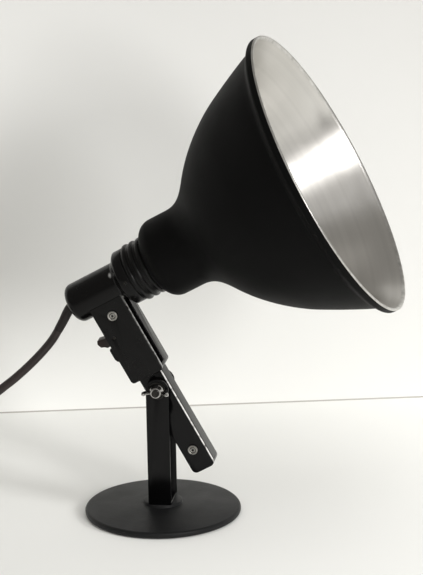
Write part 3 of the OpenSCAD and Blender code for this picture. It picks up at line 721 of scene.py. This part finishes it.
class DESKLAMP_OT_cord(Operator):
    """Makes the power cord with its strain relief, tie and plug"""
    bl_idname = "desk_lamp.cord"
    bl_label = "Cord and plug"

    def execute(self, context):
        diameter = context.scene.desk_lamp_sizes.cord_diameter / MM
        path = cord_path()
        cord = add_piece(
            "cord", None, None,
            lambda bm: sweep_tube(bm, path, [diameter / 2] * len(path)), ["cord_sheath"])
        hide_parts("power_cord", "cord_run", "cord_coil", "cord_tail")
        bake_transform(cord)

        def relief(bm):
            way = smooth_path([Vector((EXIT_X - b, 0, 3.4 + (EXIT_Z - 3.4) * s))
                               for b, s in DROP[:5]], 0.7)
            inner = [BARREL @ Vector((x, 0, 0)) for x in (-26.5, -28.5)]
            way = inner + way
            radii = []
            for i in range(len(way)):
                radii.append(4.15 - 0.65 * i / (len(way) - 1))
            sweep_tube(bm, way, radii, sides=20)
        sleeve = add_piece("strain_relief", "head", ["cord_sleeve"], relief,
                           ["cord_rubber"])

        def band(bm):
            """A flat tie round the wound turns."""
            inner, outer, high = COIL_R - 1.5 * CORD_D, COIL_R + 1.5 * CORD_D, 3 * CORD_D
            loop = []
            for corner, start in (((outer - 2.2, high - 2.2), 0), ((inner + 2.2, high - 2.2), 90),
                                  ((inner + 2.2, 2.4), 180), ((outer - 2.2, 2.4), 270)):
                loop += arc(corner, 2.2, start, start + 90, 5)
            spin = Matrix.Rotation(math.radians(20), 4, "Z")
            turn = Matrix.Translation((COIL_X, COIL_Y, 0)) @ spin
            rows = []
            for y, grow in ((-3.4, 0.15), (-3.2, 0.9), (3.2, 0.9), (3.4, 0.15), (3.2, 0.0),
                            (-3.2, 0.0)):
                row = []
                for k, (r, z) in enumerate(loop):
                    mid_r, mid_z = (inner + outer) / 2, high / 2
                    away = Vector((r - mid_r, z - mid_z)).normalized() * grow
                    row.append(bm.verts.new(turn @ Vector((r + away[0], y, max(0.1, z + away[1])))))
                rows.append(row)
            for i, row in enumerate(rows):
                other = rows[(i + 1) % len(rows)]
                for k in range(len(loop)):
                    n = (k + 1) % len(loop)
                    bm.faces.new([row[k], row[n], other[n], other[k]])
            bmesh.ops.remove_doubles(bm, verts=bm.verts, dist=1e-4)
            bmesh.ops.recalc_face_normals(bm, faces=bm.faces)
        tie = add_piece("cord_band", "stand", ["cord_tie"], band, ["cord_rubber"])

        def plug(bm):
            sections = [(24, 3.9, 3.9, 2)]
            for i in range(16):
                x = 24.6 + i * 1.05
                swell = 0.35 * (1 if i % 2 else -1)
                sections.append((x, 4.3 + i * 0.08 + swell, 4.3 + i * 0.08 + swell, 2))
            sections += [(42, 6.4, 5.2, 2.2), (45, 9.2, 5.4, 2.6), (48, 11.8, 5.5, 3),
                         (52, 13.4, 5.7, 3.4), (60, 13.9, 6.0, 3.8), (70, 14.2, 6.3, 4),
                         (75.5, 14.3, 6.4, 4), (76.6, 13.8, 5.9, 4), (77, 12.9, 5.0, 4)]
            superellipse(bm, sections)
        plug_piece = add_piece("plug", "stand", ["plug_body"], plug,
                               ["plug_moulding"])
        return {"FINISHED"}


# ---- reflector and lampholder ----
def bell_outline(rim_r):
    """The outside of the reflector from its rear wall to its lip, as (along, radius)."""
    front, neck, lip_x, lip_r, edge = 46.5, 32.45, 193.8, rim_r - 7.4, 201.0
    bell_x, bell_r = 150.0, lip_r - 43.8 * 0.46
    waist_x = bell_x - 49.5
    waist_r = neck + (bell_r - neck) * 0.29
    return (
        bezier([(front, neck - 9), (front + 1, neck - 5), (front + 5.5, neck),
                (front + 12.5, neck)], 12)
        + bezier([(waist_x - 25.5, neck), (waist_x - 14, neck + 0.1),
                  (waist_x - 7.5, waist_r - 9.1), (waist_x, waist_r)], 18)
        + bezier([(waist_x, waist_r), (waist_x + 13, waist_r + 16.9),
                  (bell_x - 18, bell_r - 9.7), (bell_x, bell_r)], 26)
        + bezier([(bell_x, bell_r), (bell_x + 15, bell_r + 7.6),
                  (lip_x - 12, lip_r - 4.7), (lip_x, lip_r)], 10)
        + bezier([(lip_x, lip_r), (lip_x + 3.5, lip_r + 1.7),
                  (edge - 3, rim_r - 0.2), (edge, rim_r - 0.2)], 12))


def offset_inward(line, wall):
    out = []
    for i, point in enumerate(line):
        a, b = line[max(i - 1, 0)], line[min(i + 1, len(line) - 1)]
        size = math.hypot(b[0] - a[0], b[1] - a[1])
        out.append((point[0] + wall * (b[1] - a[1]) / size, point[1] - wall * (b[0] - a[0]) / size))
    return out


class DESKLAMP_OT_reflector(Operator):
    """Makes the spun reflector: painted outside, bare metal inside, with a rolled lip"""
    bl_idname = "desk_lamp.reflector"
    bl_label = "Reflector"

    def execute(self, context):
        rim_r = context.scene.desk_lamp_sizes.rim_diameter / MM / 2
        outer = bell_outline(rim_r)
        inner = [p for p in offset_inward(outer, 1.0) if p[0] < 192.5]
        painted, bare, lip = 0, 1, 2
        profile = [(46.5, 19.3, painted)]
        profile += [(x, r, painted) for x, r in outer]
        profile += [(201.0, rim_r - 0.2, painted), (203.6, rim_r - 0.05, painted)]
        profile += [(x, r, lip) for x, r in arc((204.6, rim_r - 1.2), 1.2, 90, -60, 10)]
        profile += [(204.6, rim_r - 2.7, lip), (203.6, rim_r - 3.2, bare)]
        profile += [(199.5, rim_r - 4.8, bare), (195.8, rim_r - 7.0, bare)]
        profile += [(x, r, bare) for x, r in reversed(inner)]
        profile += [(47.5, 19.3, bare)]
        add_piece("reflector_shell", "head", ["reflector"],
                  lambda bm: spin_outline(bm, profile, BARREL, 180),
                  ["shade_paint", "reflector_metal", "rim_metal"])
        return {"FINISHED"}


def ring_tree():
    """Geometry Nodes: a round ring on every point, turned to face the point's own way."""
    tree = bpy.data.node_groups.new("Rings", "GeometryNodeTree")
    tree.is_modifier = True
    face = tree.interface
    face.new_socket("Geometry", in_out="INPUT", socket_type="NodeSocketGeometry")
    for label, value in (("Ring radius", 0.02), ("Wire radius", 0.001), ("Dome radius", 0.0),
                         ("Dome height", 0.001)):
        face.new_socket(label, in_out="INPUT", socket_type="NodeSocketFloat").default_value = value
    for label, value in (("Ring steps", 96), ("Wire steps", 12)):
        face.new_socket(label, in_out="INPUT", socket_type="NodeSocketInt").default_value = value
    face.new_socket("Material", in_out="INPUT", socket_type="NodeSocketMaterial")
    face.new_socket("Geometry", in_out="OUTPUT", socket_type="NodeSocketGeometry")
    given = tree.nodes.new("NodeGroupInput").outputs
    out = tree.nodes.new("NodeGroupOutput").inputs
    circle = link_node(tree, "GeometryNodeCurvePrimitiveCircle", {
        "Resolution": given["Ring steps"], "Radius": given["Ring radius"]})
    wire = link_node(tree, "GeometryNodeCurvePrimitiveCircle", {
        "Resolution": given["Wire steps"], "Radius": given["Wire radius"]})
    ring = link_node(tree, "GeometryNodeCurveToMesh", {
        "Curve": circle.outputs["Curve"], "Profile Curve": wire.outputs["Curve"]})
    ball = link_node(tree, "GeometryNodeMeshUVSphere", {
        "Segments": 32, "Rings": 16, "Radius": given["Dome radius"]})
    flat = link_node(tree, "ShaderNodeCombineXYZ", {
        "X": 1.0, "Y": 1.0, "Z": given["Dome height"]})
    dome = link_node(tree, "GeometryNodeTransform", {
        "Geometry": ball.outputs["Mesh"], "Scale": flat.outputs["Vector"]})
    both = tree.nodes.new("GeometryNodeJoinGeometry")
    tree.links.new(ring.outputs["Mesh"], both.inputs["Geometry"])
    tree.links.new(dome.outputs["Geometry"], both.inputs["Geometry"])
    way = link_node(tree, "GeometryNodeInputNamedAttribute", {"Name": "facing"},
                    data_type="FLOAT_VECTOR")
    turn = link_node(tree, "FunctionNodeAlignRotationToVector", {
        "Vector": way.outputs["Attribute"]}, axis="Z")
    placed = link_node(tree, "GeometryNodeInstanceOnPoints", {
        "Points": given["Geometry"], "Instance": both.outputs["Geometry"],
        "Rotation": turn.outputs["Rotation"]})
    solid = link_node(tree, "GeometryNodeRealizeInstances", {
        "Geometry": placed.outputs["Instances"]})
    smooth = link_node(tree, "GeometryNodeSetShadeSmooth", {
        "Geometry": solid.outputs["Geometry"]})
    finished = link_node(tree, "GeometryNodeSetMaterial", {
        "Geometry": smooth.outputs["Geometry"], "Material": given["Material"]})
    tree.links.new(finished.outputs["Geometry"], out["Geometry"])
    return tree


def ringed(name, body, replaced, finish, points, sizes):
    """Places rings on points (place, facing), and leaves one plain mesh on the body."""
    tree = bpy.data.node_groups.get("Rings") or ring_tree()
    seed = bpy.data.meshes.new(name + "_points")
    seed.from_pydata([tuple(place * MM) for place, _ in points], [], [])
    facing = seed.attributes.new("facing", "FLOAT_VECTOR", "POINT")
    for i, (_, way) in enumerate(points):
        facing.data[i].vector = way
    holder = bpy.data.objects.new(name + "_points", seed)
    bpy.context.scene.collection.objects.link(holder)
    modifier = holder.modifiers.new("Rings", "NODES")
    modifier.node_group = tree
    names = {item.name: item.identifier for item in tree.interface.items_tree
             if item.in_out == "INPUT"}
    for label, value in sizes.items():
        modifier[names[label]] = value
    modifier[names["Material"]] = FINISHES[finish]
    context = bpy.context
    context.view_layer.update()
    made = holder.evaluated_get(context.evaluated_depsgraph_get())
    mesh = bpy.data.meshes.new_from_object(made)
    mesh.name = name
    holder.modifiers.remove(modifier)
    bpy.data.objects.remove(holder)
    mesh.materials.clear()
    bm = bmesh.new()
    bm.from_mesh(mesh)
    bmesh.ops.remove_doubles(bm, verts=bm.verts, dist=1e-7)
    flat = [f for f in bm.faces if f.calc_area() < 1e-14]
    bmesh.ops.delete(bm, geom=flat, context="FACES")
    loose = [v for v in bm.verts if not v.link_faces]
    bmesh.ops.delete(bm, geom=loose, context="VERTS")
    bmesh.ops.recalc_face_normals(bm, faces=bm.faces)
    bm.to_mesh(mesh)
    bm.free()
    return settle(name, mesh, body, replaced, [finish])


class DESKLAMP_OT_holder(Operator):
    """Makes the barrel and the ribbed collar that carry the lampholder"""
    bl_idname = "desk_lamp.holder"
    bl_label = "Barrel and collar"

    def execute(self, context):
        r = 16.0
        barrel = [(-29.9, 4.45), (-30.0, 4.9)]
        barrel += [(-30.0, 8.6)]
        barrel += [(-30.0 + 6.2 * (1 - math.cos(math.radians(t))),
                    9.0 + 7.0 * math.sin(math.radians(t)))
                   for t in range(8, 91, 8)]
        barrel += [(-20.0, r), (-5.0, r), (14.2, r)]
        barrel += bezier([(14.4, r), (16.6, r + 0.4), (18.4, 20.4), (20.0, 21.9)], 10)
        barrel += [(20.3, 22.1), (20.7, 22.3), (24.0, 22.3), (27.4, 22.3), (28.0, 22.0),
                   (28.2, 21.4)]
        barrel += [(28.2, 19.2), (23.0, 19.2), (16.0, 13.4), (-24.0, 13.4), (-26.6, 10.0),
                   (-27.2, 4.45)]
        add_piece("barrel", "head", ["socket_barrel"],
                  lambda bm: spin_outline(bm, [(x, y, 0) for x, y in barrel], BARREL, 112),
                  ["black_moulding"])
        core, ground = 19.15, 22.5
        collar = [(28.4, core), (28.4, ground - 0.5), (28.8, ground)]
        collar += [(46.0, ground), (46.4, ground - 0.5), (46.4, core)]

        def turned(bm):
            spin_outline(bm, [(x, y, 0) for x, y in collar], BARREL, 112)
        add_piece("collar_body", "head", ["collar"], turned,
                  ["collar_moulding"])
        forward = BARREL.to_3x3() @ Vector((1, 0, 0))
        ribs = [(BARREL @ Vector((x, 0, 0)), forward) for x in (31.3, 37.4, 43.5)]
        ringed("collar_ribs", "head", [], "collar_moulding", ribs,
               {"Ring radius": 0.0216, "Wire radius": 0.0022, "Ring steps": 112,
                "Wire steps": 18})
        return {"FINISHED"}


class DESKLAMP_OT_handle(Operator):
    """Rounds the edges of the moulded handle, its cover and the switch lever"""
    bl_idname = "desk_lamp.handle"
    bl_label = "Handle and switch"

    def execute(self, context):
        width = context.scene.desk_lamp_sizes.edge_round
        softened("handle_housing", "grip_housing", width, "black_moulding",
                 "head")
        softened("handle_cover", "grip_cover", width, "black_moulding", "head")
        softened("switch_lever", "lever", width * 0.8, "switch_moulding",
                 "switch_lever")
        return {"FINISHED"}


class DESKLAMP_OT_frame(Operator):
    """Rounds the pressed edges of the post and the arm"""
    bl_idname = "desk_lamp.frame"
    bl_label = "Post and arm"

    def execute(self, context):
        width = context.scene.desk_lamp_sizes.edge_round
        softened("post_channel", "post", width * 0.7, "black_paint", "stand")
        softened("arm_channel", "arm", width * 0.7, "black_paint", "head")
        return {"FINISHED"}


class DESKLAMP_OT_rivets(Operator):
    """Sets the tubular rivets through the arm and the handle"""
    bl_idname = "desk_lamp.rivets"
    bl_label = "Rivets"

    def execute(self, context):
        head = context.scene.desk_lamp_sizes.rivet_head
        for name, along, half in (("arm_rivet", -57.0, 9.2), ("grip_rivet", 69.6, 14.0)):
            points = []
            for side in (-1, 1):
                place = HEAD @ Vector((-0.8, side * (half + 0.75), along))
                points.append((place, Vector((0, side, 0))))
            for part, radius, wire in (("rims", head / 2 - 0.0008, 0.0008),
                                       ("mouths", head / 2 - 0.0025, 0.0006)):
                ringed(f"{name}_{part}", "head", [], "bright_metal", points,
                       {"Ring radius": radius, "Wire radius": wire, "Ring steps": 40,
                        "Wire steps": 12})
        return {"FINISHED"}


class DESKLAMP_OT_base(Operator):
    """Makes the cast disc base"""
    bl_idname = "desk_lamp.base"
    bl_label = "Base"

    def execute(self, context):
        half = context.scene.desk_lamp_sizes.base_diameter / MM / 2
        low, top = 0.8, 5.8
        outline = [(2.0, 6.6), (low + 1.2, 53.9), (low, 54.0), (low, half - 1.6)]
        outline += [(low + 1.8 - 1.8 * math.cos(math.radians(t)),
                     half - 1.8 + 1.8 * math.sin(math.radians(t))) for t in range(15, 91, 15)]
        outline += [(top - 2.2 + 2.2 * math.sin(math.radians(t)),
                     half - 2.2 + 2.2 * math.cos(math.radians(t))) for t in range(0, 91, 15)]
        outline += bezier([(top + 0.1, half - 3.5), (top + 1.2, half - 14), (top + 2.4, half - 28),
                           (8.8, 24.0)], 14)
        outline += [(8.8, 24.0), (8.8, 15.0), (8.8, 3.2), (5.4, 3.2), (5.4, 6.5)]
        add_piece("base", "stand", ["base_disc"],
                  lambda bm: spin_outline(bm, [(x, y, 0) for x, y in outline], UPRIGHT, 160),
                  ["base_paint"])
        boss = [(8.8, 3.2), (8.8, 15.9), (9.0, 15.7), (9.3, 15.55), (10.4, 15.5), (10.9, 15.3),
                (11.2, 14.9), (11.3, 14.4), (11.3, 3.2)]
        add_piece("foot", "stand", ["foot_boss"],
                  lambda bm: spin_outline(bm, [(x, y, 0) for x, y in boss], UPRIGHT, 96),
                  ["base_paint"])
        return {"FINISHED"}


class DESKLAMP_OT_wing_nut(Operator):
    """Makes the wing nut"""
    bl_idname = "desk_lamp.wing_nut"
    bl_label = "Wing nut"

    def execute(self, context):
        root = -16.0
        toward = Matrix.Translation((0, root, PIVOT_Z)) @ Matrix.Rotation(-math.pi / 2, 4, "Z")

        def build(bm):
            hub = [(0.0, 3.06), (0.0, 5.4), (0.3, 5.75), (1.6, 5.75), (2.4, 5.3), (4.6, 4.5),
                   (5.3, 4.2), (5.5, 3.8), (5.5, 3.06)]
            spin_outline(bm, [(x, y, 0) for x, y in hub], toward, 56)
            # each wing: (out, along the bolt, half thickness) round its edge, from the hub
            edge = [(3.7, 0.9), (4.9, 1.1), (7.4, 2.4), (9.6, 4.6), (10.7, 6.6), (11.0, 8.6),
                    (10.5, 10.2), (9.3, 10.9), (8.2, 10.3), (7.2, 8.4), (5.6, 6.2), (3.9, 4.9)]
            centre = Vector((7.6, 5.9))
            for side in (-1, 1):
                turn = Matrix.Translation((0, root, PIVOT_Z)) @ Matrix.Rotation(
                    math.radians(1), 4, "Y")
                rings = []
                for shrink, half in ((0.72, 1.15), (0.9, 1.0), (1.0, 0.45), (1.0, -0.45),
                                     (0.9, -1.0), (0.72, -1.15)):
                    ring = []
                    for out, deep in edge:
                        spot = centre + (Vector((out, deep)) - centre) * shrink
                        ring.append(bm.verts.new(turn @ Vector((side * spot[0], -spot[1], half))))
                    rings.append(ring)
                for first, second in zip(rings, rings[1:]):
                    for k in range(len(edge)):
                        n = (k + 1) % len(edge)
                        bm.faces.new([first[k], first[n], second[n], second[k]])
                for ring, half in ((rings[0], 1.2), (rings[-1], -1.2)):
                    hubs = bm.verts.new(turn @ Vector((side * centre[0], -centre[1], half)))
                    for k in range(len(edge)):
                        n = (k + 1) % len(edge)
                        bm.faces.new([ring[k], ring[n], hubs])
            bmesh.ops.recalc_face_normals(bm, faces=bm.faces)
        add_piece("wing_nut_body", "wing_nut", ["wing_nut"], build,
                  ["chrome_metal"])
        return {"FINISHED"}


class DESKLAMP_OT_nodes(Operator):
    """Gives every carried-over part its finish"""
    bl_idname = "desk_lamp.nodes"
    bl_label = "Finishes"

    def execute(self, context):
        make_finishes(context.scene.desk_lamp_colours)
        dress_nodes()
        return {"FINISHED"}


def stage_material(name, dim, pale, operation, point, slope, offset):
    """A smooth backdrop with painted shade: its tone runs from dim to pale along or away from a
    point, standing in for the light falling off across it.
    """
    material, tree, shader, coords = start_material(name)
    place = link_node(tree, "ShaderNodeVectorMath", {0: coords, 1: point}, operation=operation)
    share = link_node(tree, "ShaderNodeMath", {0: place.outputs["Value"], 1: slope, 2: offset},
                      operation="MULTIPLY_ADD", use_clamp=True)
    tree.links.new(mixed(tree, share.outputs[0], dim, pale), shader.inputs["Base Color"])
    shader.inputs["Roughness"].default_value = 0.8
    # the back is clear, so that the lamp can be seen from behind the backdrop
    behind = link_node(tree, "ShaderNodeNewGeometry").outputs["Backfacing"]
    clear = link_node(tree, "ShaderNodeBsdfTransparent").outputs["BSDF"]
    sided = link_node(tree, "ShaderNodeMixShader", {
        0: behind, 1: shader.outputs["BSDF"], 2: clear})
    tree.links.new(sided.outputs["Shader"], tree.nodes["Material Output"].inputs["Surface"])
    return material


def area_light(name, place, aim, size, power, colour=(1, 1, 1)):
    data = bpy.data.lights.new(name, "AREA")
    data.shape = "RECTANGLE"
    data.size, data.size_y = size
    data.energy = power
    data.color = colour
    light = bpy.data.objects.new(name, data)
    light.location = place
    light.rotation_euler = (Vector(aim) - Vector(place)).to_track_quat("-Z", "Y").to_euler()
    bpy.context.scene.collection.objects.link(light)
    return light


class DESKLAMP_OT_stage(Operator):
    """Makes the floor and wall, painted darker away from where the light falls, and the soft studio
    lights
    """
    bl_idname = "desk_lamp.stage"
    bl_label = "Stage and lights"

    def execute(self, context):
        desk = bpy.data.meshes.new("floor")
        wall_near, wall_far = Vector((-2.5, -0.30, 0)), Vector((3.0, 0.949, 0))
        desk.from_pydata([(-2.5, -4, 0), (3, -4, 0), tuple(wall_far), tuple(wall_near)], [],
                         [(0, 1, 2, 3)])
        wall = bpy.data.meshes.new("backdrop")
        rise = Vector((0, 0, 0.45))
        wall.from_pydata([tuple(wall_near), tuple(wall_far), tuple(wall_far + rise),
                          tuple(wall_near + rise)], [], [(0, 1, 2, 3)])
        # a thin grey strip where the desk meets the wall: painted shade in that crease
        line = bpy.data.meshes.new("shaded_crease_strip")
        line.from_pydata([tuple(wall_near + Vector((0.0002, -0.0009, 0))),
                          tuple(wall_far + Vector((0.0002, -0.0009, 0))),
                          tuple(wall_far + Vector((0.0002, -0.0009, 0.0012))),
                          tuple(wall_near + Vector((0.0002, -0.0009, 0.0012)))], [],
                         [(0, 1, 2, 3)])
        pale, crease_shade_grey = (0.90, 0.90, 0.872), (0.42, 0.40, 0.37)
        # painted shade: the floor darkens with distance from a point at the foot of the wall to the
        # right of the lamp, and the wall darkens towards its top and its right
        shade_gradients = ((desk, (0.40, 0.40, 0.388), pale, "DISTANCE", (0.4, 0.4, 0), -0.52, 1.156),
                 (wall, (0.50, 0.495, 0.48), (0.93, 0.93, 0.903), "DOT_PRODUCT",
                  (-0.7, 0, -1.2), 1.0, 0.66),
                 (line, crease_shade_grey, crease_shade_grey, "DOT_PRODUCT", (0, 0, 0), 0.0, 0.0))
        for mesh, *tone in shade_gradients:
            mesh.materials.append(stage_material(mesh.name, *tone))
            piece = bpy.data.objects.new(mesh.name, mesh)
            context.scene.collection.objects.link(piece)
        world = bpy.data.worlds.new("Studio")
        world.use_nodes = True
        world.node_tree.nodes["Background"].inputs["Color"].default_value = (1.0, 0.97, 0.91, 1)
        world.node_tree.nodes["Background"].inputs["Strength"].default_value = 0.33
        context.scene.world = world
        area_light("key", (1.50, -1.61, 0.92), (0.15, 0, 0.28), (0.4, 0.7), 22, (1.0, 0.99, 0.98))
        area_light("card", (0.68, -1.46, 1.84), (0.15, 0, 0.28), (1.2, 1.0), 2.6)
        side = area_light("side", (2.2, -0.86, 1.0), (0, 0, 0.1), (0.6, 0.6), 38)
        fill = area_light("fill", (0.2, -2.1, 1.5), (0.1, 0.1, 0.1), (2.2, 1.4), 9)
        top = area_light("top", (0.4, -0.6, 2.2), (0.2, 0.1, 0), (1.8, 1.6), 11)
        for light in (side, fill, top):
            light.visible_glossy = False
        context.scene.view_settings.view_transform = "Standard"
        return {"FINISHED"}


class DESKLAMP_PT_panel(Panel):
    bl_idname = "DESKLAMP_PT_panel"
    bl_label = "Desk lamp"
    bl_space_type = "VIEW_3D"
    bl_region_type = "UI"
    bl_category = "Desk lamp"

    def draw(self, context):
        for group in (context.scene.desk_lamp_sizes, context.scene.desk_lamp_colours):
            box = self.layout.box()
            for key in group.__annotations__:
                box.prop(group, key)
        for step in STEPS:
            self.layout.operator(step.bl_idname)


STEPS = (DESKLAMP_OT_camera, DESKLAMP_OT_nodes, DESKLAMP_OT_cord, DESKLAMP_OT_stage,
         DESKLAMP_OT_reflector, DESKLAMP_OT_holder, DESKLAMP_OT_handle, DESKLAMP_OT_frame,
         DESKLAMP_OT_rivets, DESKLAMP_OT_base, DESKLAMP_OT_wing_nut)
CLASSES = (LampSizes, LampColours, *STEPS, DESKLAMP_PT_panel)


def register():
    for item in CLASSES:
        bpy.utils.register_class(item)
    bpy.types.Scene.desk_lamp_sizes = PointerProperty(type=LampSizes)
    bpy.types.Scene.desk_lamp_colours = PointerProperty(type=LampColours)


def unregister():
    del bpy.types.Scene.desk_lamp_colours
    del bpy.types.Scene.desk_lamp_sizes
    for item in reversed(CLASSES):
        bpy.utils.unregister_class(item)


def main():
    register()
    for step in STEPS:
        family, name = step.bl_idname.split(".")
        getattr(getattr(bpy.ops, family), name)()


if __name__ == "__main__":
    main()
